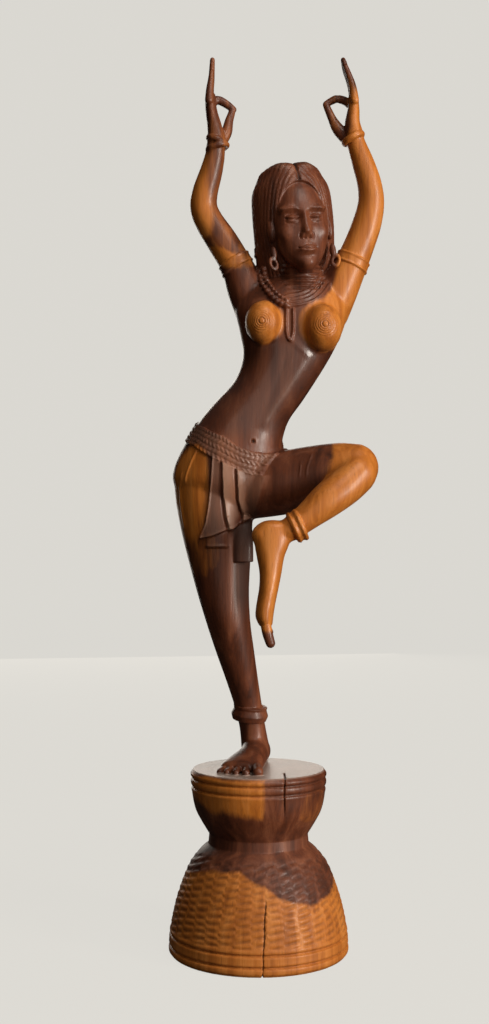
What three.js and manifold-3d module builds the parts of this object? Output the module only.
// A dancer carved from one upright log, balancing on her right foot on an hourglass drum.
// Her arms are raised, her left knee is drawn up to the side and its foot hangs in front of her.
// Millimetres. +Z is up, she faces -Y, +X is to her left. The origin is the centre of the underside.
import * as THREE from "three";
import { mergeVertices } from "three/addons/utils/BufferGeometryUtils.js";
import Module from "manifold-3d";

const wasm = await Module();
wasm.setup();

// Driving dimensions
const DRUM_HEIGHT = 122;
const DRUM_FOOT_RADIUS = 60;
const DRUM_WAIST_RADIUS = 33;
const DRUM_RIM_RADIUS = 45.3;
const WAIST_LOW = 72.5;
const WAIST_HIGH = 79;
const GROOVE_DEPTH = 0.9;
const GROOVE_HALF_WIDTH = 0.9;
const DRUM_SIDES = 24;
const HEAD_CENTRE = [24, -1, 490];
const HEAD_TURN = THREE.MathUtils.degToRad(13);
const HEAD_TILT = THREE.MathUtils.degToRad(-6);
const NECK_FOLDS = 3;
const CHIN = -39;
const FACE_THIRD = 19.4;
const HAIR_HALF_WIDTH = 27;
const LOCKS = 9;
const GIRDLE_HEIGHT = 13;
const GIRDLE_LEVEL = 339;
const GIRDLE_SLOPE = [-0.4, 0.8];
const CLOTH_THICKNESS = 1.8;
const PLEAT_RISE = 2.6;
const PLEATS = 5;
const PLEAT_DEPTH = 4;
const FINGER_RADIUS = 2.3;
const FINGER_SPACING = 3.9;

const X = new THREE.Vector3(1, 0, 0);
const Y = new THREE.Vector3(0, 1, 0);
const Z = new THREE.Vector3(0, 0, 1);
const point = ([x, y, z]) => new THREE.Vector3(x, y, z);

// A closed three.js geometry as a solid that can be joined and cut.
function solid(geometry) {
  const bare = geometry.clone();
  bare.deleteAttribute("normal");
  bare.deleteAttribute("uv");
  const merged = mergeVertices(bare, 1e-4);
  const corners = [];
  for (let i = 0; i < merged.index.count; i += 3) {
    const [a, b, c] = [0, 1, 2].map((k) => merged.index.getX(i + k));
    if (a !== b && b !== c && c !== a) corners.push(a, b, c);
  }
  const mesh = new wasm.Mesh({
    numProp: 3,
    vertProperties: new Float32Array(merged.attributes.position.array),
    triVerts: new Uint32Array(corners),
  });
  return new wasm.Manifold(mesh);
}

const join = (geometries) => geometries.map(solid).reduce((all, next) => all.add(next));

// A limb or trunk: elliptical sections threaded on a smooth centre line, with domed ends.
// A station is [x, y, z, half width, half depth]. The width runs along `across`. Level sections lie flat.
// `shape` may change a section: it takes (turn, t) and gives a factor for the radius.
function loft(stations, options = {}) {
  const { sides = 12, rings = 8, across = X, level = false, domes = [1, 1], domeRings = 1 } = options;
  const { shape = () => 1 } = options;
  const line = new THREE.CatmullRomCurve3(stations.map(point));
  const upright = Z.clone().multiplyScalar(Math.sign(stations.at(-1)[2] - stations[0][2]));
  const sizes = new THREE.CatmullRomCurve3(
    stations.map(([, , , width, depth = width]) => new THREE.Vector3(width, depth, 0)),
    false,
    "catmullrom",
  );
  const sections = [];
  const addSection = (t, inset, reach) => {
    const along = level ? upright : line.getTangent(t);
    const wide = across.clone().addScaledVector(along, -across.dot(along)).normalize();
    const deep = new THREE.Vector3().crossVectors(wide, along);
    const size = sizes.getPoint(t);
    const centre = line.getPoint(t).addScaledVector(along, reach * Math.min(size.x, size.y));
    sections.push({ t, inset, centre, wide, deep, size });
  };
  const rises = Array.from({ length: domeRings }, (_, i) => ((i + 1) / (domeRings + 1)) * (Math.PI / 2));
  addSection(0, 0, -domes[0]);
  rises.toReversed().forEach((a) => addSection(0, Math.cos(a), -domes[0] * Math.sin(a)));
  for (let i = 0; i <= rings; i++) addSection(i / rings, 1, 0);
  rises.forEach((a) => addSection(1, Math.cos(a), domes[1] * Math.sin(a)));
  addSection(1, 0, domes[1]);

  const profile = sections.map((s, i) => new THREE.Vector2(s.inset, i));
  const geometry = new THREE.LatheGeometry(profile, sides);
  const places = geometry.attributes.position;
  for (let i = 0; i < places.count; i++) {
    const section = sections[Math.round(places.getY(i))];
    const factor = shape(Math.atan2(places.getZ(i), places.getX(i)), section.t);
    const place = section.centre
      .clone()
      .addScaledVector(section.wide, places.getX(i) * section.size.x * factor)
      .addScaledVector(section.deep, places.getZ(i) * section.size.y * factor);
    places.setXYZ(i, ...place);
  }
  return geometry;
}

// An ellipsoid with its poles up and down.
function ball(centre, radii, sides = 12, rings = 8) {
  const geometry = new THREE.SphereGeometry(1, sides, rings);
  geometry.rotateX(Math.PI / 2);
  geometry.scale(...radii);
  return geometry.translate(...centre);
}

// An elliptical ring round `axis`. Its section is a closed outline of [outward, along the axis] pairs.
function ring(centre, axis, [wide, deep], section, sides = 14) {
  const outline = [...section, section[0]].map(([out, up]) => new THREE.Vector2(wide + out, up));
  const geometry = new THREE.LatheGeometry(outline, sides);
  geometry.rotateX(Math.PI / 2);
  geometry.scale(1, deep / wide, 1);
  geometry.applyQuaternion(new THREE.Quaternion().setFromUnitVectors(Z, point(axis).normalize()));
  return geometry.translate(...centre);
}

// The oval section of a bangle, `thick` and `height` being half sizes.
function oval(thick, height, corners = 5) {
  return Array.from({ length: corners }, (_, i) => {
    const angle = (2 * Math.PI * i) / corners;
    return [thick * Math.cos(angle), height * Math.sin(angle)];
  });
}

// The hourglass drum that she stands on, turned round Z, with four cut lines.
function drum() {
  const bell = new THREE.SplineCurve(
    [
      [1, 2],
      [0.98, 18],
      [0.91, 37],
      [0.785, 57],
      [0.665, 67],
      [0.56, WAIST_LOW],
    ].map(([share, z]) => new THREE.Vector2(share * DRUM_FOOT_RADIUS, z)),
  );
  const bowl = new THREE.SplineCurve(
    [
      [DRUM_WAIST_RADIUS / DRUM_RIM_RADIUS, WAIST_HIGH],
      [0.855, 88.5],
      [0.935, 96],
      [0.98, 106],
      [1, DRUM_HEIGHT - 2.5],
    ].map(([share, z]) => new THREE.Vector2(share * DRUM_RIM_RADIUS, z)),
  );
  const outline = [new THREE.Vector2(0, 0), new THREE.Vector2(DRUM_FOOT_RADIUS - 1.5, 0)];
  outline.push(...withGrooves(bell.getPoints(6), [6, 13.5]));
  outline.push(...withGrooves(bowl.getPoints(4), [DRUM_HEIGHT - 11.2, DRUM_HEIGHT - 5.4]));
  outline.push(new THREE.Vector2(DRUM_RIM_RADIUS - 1.6, DRUM_HEIGHT), new THREE.Vector2(0, DRUM_HEIGHT));
  const geometry = new THREE.LatheGeometry(outline, DRUM_SIDES);
  return geometry.rotateX(Math.PI / 2);
}

// An outline of rising points, with a V cut into it at each of the heights.
function withGrooves(outline, heights) {
  const radiusAt = (z) => {
    const i = outline.findIndex((p) => p.y >= z);
    const share = (z - outline[i - 1].y) / (outline[i].y - outline[i - 1].y);
    return THREE.MathUtils.lerp(outline[i - 1].x, outline[i].x, share);
  };
  const kept = outline.filter((p) => heights.every((z) => Math.abs(p.y - z) > 1.6 * GROOVE_HALF_WIDTH));
  const cuts = heights.flatMap((z) =>
    [-1, 0, 1].map((side) => {
      const height = z + side * GROOVE_HALF_WIDTH;
      return new THREE.Vector2(radiusAt(height) - (side === 0 ? GROOVE_DEPTH : 0), height);
    }),
  );
  return [...kept, ...cuts].sort((a, b) => a.y - b.y);
}

// Her trunk from the crotch to the shoulders, leaning to her left above the hips.
const TRUNK = [
  [-19, 6, 299, 26, 20],
  [-20, 6, 312, 37, 26],
  [-19.5, 5, 324, 37.2, 26],
  [-17.5, 2, 337, 33, 23],
  [-10.3, 0, 353.5, 30, 20],
  [0, -1, 367, 29, 18.3],
  [10.9, -1, 381, 27.3, 18],
  [19, 0, 398, 29.5, 20],
  [22, 2, 416, 35, 22],
  [22, 3, 430, 37.5, 22],
  [23.5, 5, 442, 33, 18],
  [26, 6, 451, 22, 13],
];

// The leg that carries her, from the hip down to the ankle.
const STANDING_LEG = [
  [-31.2, 8, 315, 26, 24],
  [-29.6, 8, 298, 25.9, 24.5],
  [-27.6, 6.5, 275, 23.2, 22],
  [-24.4, 4, 244, 18.2, 18.5],
  [-20.6, 3.5, 221, 15.1, 16.5],
  [-15.9, 8, 200, 13.1, 15],
  [-10.6, 13, 178, 10.8, 12.2],
  [-6.2, 17, 159, 9.3, 9.8],
  [-3.6, 20, 145, 9, 10.5],
  [-1.8, 22, 132, 9.8, 12],
];

// The ellipse in which a level-sectioned body is cut at height z, or none above and below it.
function sectionAt(stations, z) {
  const i = stations.findIndex((s, k) => k > 0 && (s[2] - z) * (stations[k - 1][2] - z) <= 0);
  if (i < 0) return null;
  const share = (z - stations[i - 1][2]) / (stations[i][2] - stations[i - 1][2]);
  const [x, y, , wide, deep] = stations[i].map((v, k) => THREE.MathUtils.lerp(stations[i - 1][k], v, share));
  return { x, y, wide, deep };
}

// The depth of such a body's front at (x, z).
function frontOf(stations, x, z) {
  const section = sectionAt(stations, z);
  const across = section ? (x - section.x) / section.wide : 1;
  return Math.abs(across) < 1 ? section.y - section.deep * Math.sqrt(1 - across ** 2) : Infinity;
}

const bodyFront = (x, z) => Math.min(frontOf(TRUNK, x, z), frontOf(STANDING_LEG, x, z));

function trunk() {
  const body = loft(TRUNK, { sides: 16, rings: 11, level: true, domes: [0.5, 0.5] });
  const seat = [
    [-31, 17, 303],
    [-3, 16, 306],
  ].map((centre) => ball(centre, [19, 16, 22], 9, 6));
  const bust = [ball([3, -15.5, 418], [12.2, 15, 14.4], 10, 7), ball([42.3, -15.5, 414.5], [12.8, 15, 15.6], 10, 7)];
  const nipples = [
    [1.6, -30, 417],
    [43, -30, 415],
  ].map((centre) => ball(centre, [2.6, 2.8, 2.6], 5, 3));
  return [body, ...seat, ...bust, ...nipples];
}

function standingLeg() {
  return [loft(STANDING_LEG, { sides: 12, rings: 11, level: true, domes: [0.6, 0.4] })];
}

// The right foot, flat on the drum, with five toes spread along its front edge.
function standingFoot() {
  const sole = DRUM_HEIGHT - 1.5;
  const foot = loft(
    [
      [1, 33, sole + 8, 8, 8.5],
      [-1, 22, sole + 10, 9.3, 10.5],
      [-4, 4, sole + 8.5, 10, 9],
      [-9, -10, sole + 6, 13, 6.5],
      [-12, -19, sole + 4, 14.5, 4.6],
    ],
    { sides: 8, rings: 4, domes: [0.8, 0.4] },
  );
  const toes = [
    { root: [-1.5, -17], tip: [-0.5, -33], radius: 3.6 },
    { root: [-8, -18], tip: [-8.5, -32], radius: 2.8 },
    { root: [-13.5, -18], tip: [-15, -30], radius: 2.6 },
    { root: [-18.5, -17], tip: [-20.7, -27], radius: 2.5 },
    { root: [-22.5, -14], tip: [-25.5, -22.5], radius: 2.3 },
  ].map(({ root, tip, radius }) => {
    const stations = [
      [...root, sole + radius + 1.2, radius],
      [tip[0], tip[1] + radius, sole + radius + 0.2, radius * 0.95],
    ];
    return loft(stations, { sides: 5, rings: 1 });
  });
  return [foot, ...toes];
}

// The drawn-up leg: thigh out to her left, shin folded back in front of it, foot hanging.
function raisedLeg() {
  // The cloth on the thigh ends in a hem above the knee, where the leg steps in.
  const t = CLOTH_THICKNESS;
  const thigh = loft(
    [
      [-4, 3, 311, 22 + t, 20 + t],
      [16, -4.4, 313, 21 + t, 19.4 + t],
      [31, -9, 316.2, 19.8 + t, 18.4 + t],
      [45.4, -14.4, 319.4, 18.4 + t, 17.4 + t],
      [47, -15, 319.7, 18.2, 17.2],
      [54.5, -17.9, 321.3, 17.5, 16.7],
      [63, -21, 322, 16, 15.5],
    ],
    { sides: 12, rings: 6, across: Z, domeRings: 2 },
  );
  const shin = loft(
    [
      [63.5, -28, 317.5, 13.6, 13],
      [55.5, -33, 309.5, 12.6, 12.5],
      [43.5, -38, 300, 11.5, 11.5],
      [30, -41, 289, 8.9, 9],
      [20, -42, 281.5, 8, 8],
    ],
    { sides: 10, rings: 5, across: Y, domeRings: 2 },
  );
  const foot = loft(
    [
      [8.5, -42, 282, 11, 8],
      [8.2, -43, 273, 11.4, 8.6],
      [7.2, -43.5, 264, 9, 8.6],
      [7.2, -44, 254, 7.2, 9],
      [6.1, -45, 244, 6.3, 10],
      [4.2, -45.5, 234, 6.1, 11],
      [3.2, -46, 226, 5.8, 11.2],
      [4, -46, 221, 4.6, 10.4],
    ],
    { sides: 8, rings: 9, level: true, domes: [0.7, 0.5] },
  );
  const heel = ball([1.5, -42, 277.5], [6.6, 7.5, 7.5], 8, 5);
  const toeLengths = [17, 16, 14.5, 12.5, 10];
  const toes = toeLengths.map((length, i) => {
    const radius = i === 0 ? 3.4 : 2.5;
    const depth = i === 0 ? -53 : -52.2 + 4.1 * i;
    const stations = [
      [3.8, depth + 1, 223, radius],
      [5, depth, 223 - length * 0.4, radius],
      [7, depth, 223 - length + radius, radius * 0.9],
    ];
    return loft(stations, { sides: 5, rings: 2 });
  });
  return [thigh, shin, foot, heel, ...toes];
}

// One raised arm with its hand: three fingers up, the forefinger and thumb meeting in a ring.
function arm({ upper, palm, fingers, forefinger, thumb }) {
  const limb = loft(upper, { sides: 9, rings: 9, across: Y });
  const hand = loft(palm, { sides: 7, rings: 2, across: Y, domes: [0.5, 0.6] });
  const last = fingers.length - 1;
  const upright = [0, 2.5, 7].map((shorter, i) => {
    const stations = fingers.map(([x, y, z], k) => {
      const rise = k / last;
      const aside = (1 - i) * FINGER_SPACING * (1 - 0.35 * rise);
      return [x, y + aside, z - shorter * rise, FINGER_RADIUS * (1 - 0.45 * rise)];
    });
    return loft(stations, { sides: 5, rings: 2 });
  });
  const pinch = [forefinger, thumb].map((route) => loft(route, { sides: 5, rings: 3 }));
  return [limb, hand, ...upright, ...pinch];
}

const RIGHT_ARM = {
  upper: [
    [-2, 8, 430, 13, 14],
    [-8.5, 6, 445, 12.4, 13],
    [-14.8, 5, 460, 10.7, 10.9],
    [-24.5, 4, 476, 10.6],
    [-32.8, 3, 488.5, 9.8],
    [-36.8, 2, 498, 9.3],
    [-35.8, 0, 508, 8.7],
    [-32, -2, 520, 7.8],
    [-29.2, -4, 531, 6.8],
    [-28.4, -5, 540, 6.2],
  ],
  palm: [
    [-28.4, -5, 539, 6.2, 6],
    [-30, -5.5, 547, 7, 5.4],
    [-31.8, -6, 556, 7.6, 4.4],
    [-32.4, -6.2, 564, 7.4, 3.6],
  ],
  fingers: [
    [-32.4, -7, 562],
    [-32.9, -7, 572],
    [-32.3, -7, 582],
    [-31.1, -7, 594.5],
  ],
  forefinger: [
    [-32, -1, 561, 2.6],
    [-30, 1, 570, 2.6],
    [-26, 2, 572, 2.4],
    [-21, 2, 569.5, 2.2],
    [-17, 1.5, 565.5, 2],
  ],
  thumb: [
    [-26, -2, 545, 4],
    [-20.5, 0, 550, 3.4],
    [-17.6, 1, 556.5, 2.6],
    [-16.6, 1.5, 563, 2],
  ],
};

const LEFT_ARM = {
  upper: [
    [47, 8, 428, 13, 14],
    [54, 6, 444, 13, 13.5],
    [62.5, 5, 461, 11.3, 11.3],
    [68.4, 4, 475, 10.4],
    [73, 3, 488, 9.9],
    [75.6, 2, 501, 9],
    [74.4, 0, 513, 8.3],
    [70.2, -2, 526, 7.6],
    [66, -4, 537, 6.5],
    [64.2, -5, 542, 6],
  ],
  palm: [
    [64.6, -5, 541, 6.2, 6],
    [63.9, -5.5, 548, 7, 5.2],
    [63.6, -6, 556, 7.6, 4.4],
    [63.3, -6.2, 564, 7.4, 3.6],
  ],
  fingers: [
    [63.3, -7, 562],
    [62, -7, 573],
    [59.2, -7, 584],
    [57, -7, 594.5],
  ],
  forefinger: [
    [62.5, -1, 561, 2.6],
    [59, 1, 570.5, 2.6],
    [54.5, 2, 572.8, 2.4],
    [49.5, 2, 571, 2.2],
    [45.8, 1.5, 568, 2],
  ],
  thumb: [
    [58.5, -2, 546, 4],
    [52.5, 0, 551.5, 3.4],
    [48.6, 1, 558, 2.6],
    [46, 1.5, 565.5, 2],
  ],
};

// The head is made upright with its middle at the origin, then turned, tilted and lifted into place.
// Its face is divided in thirds: hairline to brow, brow to the base of the nose, and that to the chin.
function head() {
  const brow = CHIN + 2 * FACE_THIRD;
  const noseBase = CHIN + FACE_THIRD;
  const mouth = CHIN + FACE_THIRD * 0.67;
  const eyes = brow - 5;
  const lock = (turn) => 1 + 0.035 * Math.cos(LOCKS * turn);
  const hair = loft(
    [
      [0, 17, -62, 17, 7],
      [0, 14, -42, 24, 16],
      [0, 8, -28, 26.5, 21],
      [0, 4, -12, HAIR_HALF_WIDTH, 26],
      [0, 2, 4, HAIR_HALF_WIDTH, 28],
      [0, 2, 18, 25, 26.5],
      [0, 2, 29, 18.5, 20],
    ],
    { sides: 2 * LOCKS, rings: 7, level: true, domes: [0.5, 0.4], shape: lock },
  );
  const opening = ball([0, -25, brow - 10], [17.4, 17, 30], 10, 7);
  const skull = ball([0, -4, brow], [18, 21.5, 27], 10, 7);
  const jaw = loft(
    [
      [0, -8, brow + 2, 17, 17.2],
      [0, -10, noseBase + 3, 15.2, 15.6],
      [0, -14, CHIN + 10, 10, 10.5],
      [0, -16.5, CHIN + 4, 6, 6.5],
    ],
    { sides: 10, rings: 4, level: true, domes: [0.5, 0.6] },
  );
  const nose = loft(
    [
      [0, -25, brow - 1, 1.8, 2.4],
      [0, -27, (brow + noseBase) / 2, 2.3, 3],
      [0, -28.4, noseBase + 2.5, 3.6, 3],
    ],
    { sides: 6, rings: 2, level: true, domes: [0.8, 0.6] },
  );
  const lips = ball([0, -24.6, mouth], [5, 2.6, 2.6], 6, 4);
  const lids = [-1, 1].map((side) => ball([side * 7.2, -21.5, eyes], [4, 2.6, 2.2], 6, 4));
  const ears = [-1, 1].map((side) => ball([side * 24, -8, eyes - 4], [4.2, 5, 8.5], 6, 5));
  const earrings = [-1, 1].map((side) =>
    ring([side * 20.5, -11, noseBase - 8], [0.3 * side, 1, 0], [3.6, 5.6], oval(1.9, 2.1, 4), 8),
  );
  const turned = new THREE.Matrix4()
    .makeTranslation(...HEAD_CENTRE)
    .multiply(new THREE.Matrix4().makeRotationY(HEAD_TILT))
    .multiply(new THREE.Matrix4().makeRotationZ(HEAD_TURN));
  const set = (geometry) => geometry.applyMatrix4(turned);
  const locks = solid(set(hair)).subtract(solid(set(opening)));
  return locks.add(join([skull, jaw, nose, lips, ...lids, ...ears, ...earrings].map(set)));
}

function neck() {
  const stations = [
    [30, 7, 430, 13, 13],
    [29.8, 6, 441, 11.4, 11.6],
    [28.8, 4.5, 454, 11, 11.4],
    [27.2, 2, 470, 11.5, 12],
  ];
  const folds = (turn, t) => 1 + 0.035 * Math.cos(2 * Math.PI * NECK_FOLDS * t);
  return [loft(stations, { sides: 10, rings: 2 * NECK_FOLDS, level: true, shape: folds })];
}

// The garland round the neck and the chain that hangs between the breasts.
function necklaces() {
  const collar = ring([28.5, -3, 449], [0, -1.05, 1], [14, 17.5], oval(1.8, 2, 4), 14);
  const garland = ring([26, -4, 447], [0, -1.25, 1], [20, 25.5], oval(2.2, 2.4, 4), 16);
  const hang = [
    [18.4, 436],
    [18.2, 424],
    [18.8, 414],
    [21.4, 409.5],
    [24, 414],
    [24.6, 424],
    [25, 436],
  ];
  const chain = loft(
    hang.map(([x, z]) => [x, frontOf(TRUNK, x, z) - 0.4, z, 1.6]),
    { sides: 4, rings: 8 },
  );
  return [collar, garland, chain];
}

// The pleated panel of cloth down the front of the standing thigh, and the end of the sash beside it.
function clothes() {
  const { lerp } = THREE.MathUtils;
  // Each pleat runs down from the girdle to a hem that rises towards her left.
  const pleats = Array.from({ length: PLEATS }, (_, i) => {
    const share = i / (PLEATS - 1);
    const hem = lerp(277.5, 291, share ** 2);
    const stations = [0, 1 / 3, 2 / 3, 1].map((down) => {
      const x = lerp(lerp(-27, 2, share), lerp(-35, -9, share), down);
      const z = lerp(lerp(334, 325, share), hem, down);
      return [x, bodyFront(x, z) + PLEAT_DEPTH - PLEAT_RISE, z, lerp(4.4, 5, down), PLEAT_DEPTH];
    });
    return loft(stations, { sides: 6, rings: 3, domes: [0.5, 0.15] });
  });
  const sash = loft(
    [
      [-8, -8, 296, 5, 5],
      [-8.6, -9.5, 278, 5, 4.5],
      [-8.8, -9.5, 262, 5.2, 4],
    ],
    { sides: 6, rings: 2, domes: [0.4, 0.05] },
  );
  return [...pleats, sash];
}

// The girdle, a flat band between two cords. It lies on the trunk, low in front and up over the hip.
function girdle() {
  const half = GIRDLE_HEIGHT / 2;
  const upper = [
    [0.8, half - 4],
    [2.9, half - 2.6],
    [2.2, half],
    [-4, half],
  ];
  const section = [...upper.map(([out, up]) => [out, -up]).toReversed(), ...upper];
  const outline = [...section, section[0]].map((_, i) => new THREE.Vector2(1, i));
  const geometry = new THREE.LatheGeometry(outline, 18);
  const places = geometry.attributes.position;
  for (let i = 0; i < places.count; i++) {
    const [out, up] = section[Math.round(places.getY(i)) % section.length];
    const [east, north] = [places.getX(i), places.getZ(i)];
    const place = new THREE.Vector3(0, 0, GIRDLE_LEVEL);
    for (let pass = 0; pass < 6; pass++) {
      const trunk = sectionAt(TRUNK, place.z);
      place.x = trunk.x + trunk.wide * east;
      place.y = trunk.y - trunk.deep * north;
      place.z = GIRDLE_LEVEL + GIRDLE_SLOPE[0] * place.x + GIRDLE_SLOPE[1] * place.y;
    }
    places.setXYZ(i, place.x + out * east, place.y - out * north, place.z + up);
  }
  return [geometry];
}

// Bracelets and anklets.
function bangles() {
  const doubleRim = [
    [-3, -4],
    [2, -4.4],
    [3.3, -0.5],
    [1.7, 3.4],
    [2.3, 5.2],
    [-3, 6.6],
  ];
  return [
    ring([-28.4, -5, 539], [0.2, 0, 1], [6.4, 6.6], oval(2, 2.2, 4), 9),
    ring([-28.2, -5, 534.6], [-0.1, 0, 1], [6.5, 6.7], oval(1.9, 2, 4), 9),
    ring([64.6, -5, 541], [-0.3, 0, 1], [6.3, 6.6], oval(1.9, 2.3, 4), 9),
    ring([-5.8, 17.4, 156.5], [0.1, -0.1, 1], [9.4, 10], doubleRim, 12),
    ring([22.6, -41.6, 283.4], [0.78, 0, 0.62], [8.6, 8.8], oval(2.7, 2.7, 6), 12),
  ];
}

const carving = join([
  drum(),
  ...trunk(),
  ...standingLeg(),
  ...standingFoot(),
  ...raisedLeg(),
  ...arm(RIGHT_ARM),
  ...arm(LEFT_ARM),
  ...neck(),
  ...necklaces(),
  ...clothes(),
  ...girdle(),
  ...bangles(),
]).add(head());

const { vertProperties, triVerts } = carving.getMesh();
const geometry = new THREE.BufferGeometry();
geometry.setAttribute("position", new THREE.BufferAttribute(vertProperties, 3));
geometry.setIndex(new THREE.BufferAttribute(triVerts, 1));
geometry.computeVertexNormals();

const rosewood = new THREE.MeshStandardMaterial({ color: 0x6b3a20, roughness: 0.42, metalness: 0 });
const dancer = new THREE.Mesh(geometry, rosewood);
dancer.name = "dancer_on_drum";

const group = new THREE.Group();
group.add(dancer);

export default group;
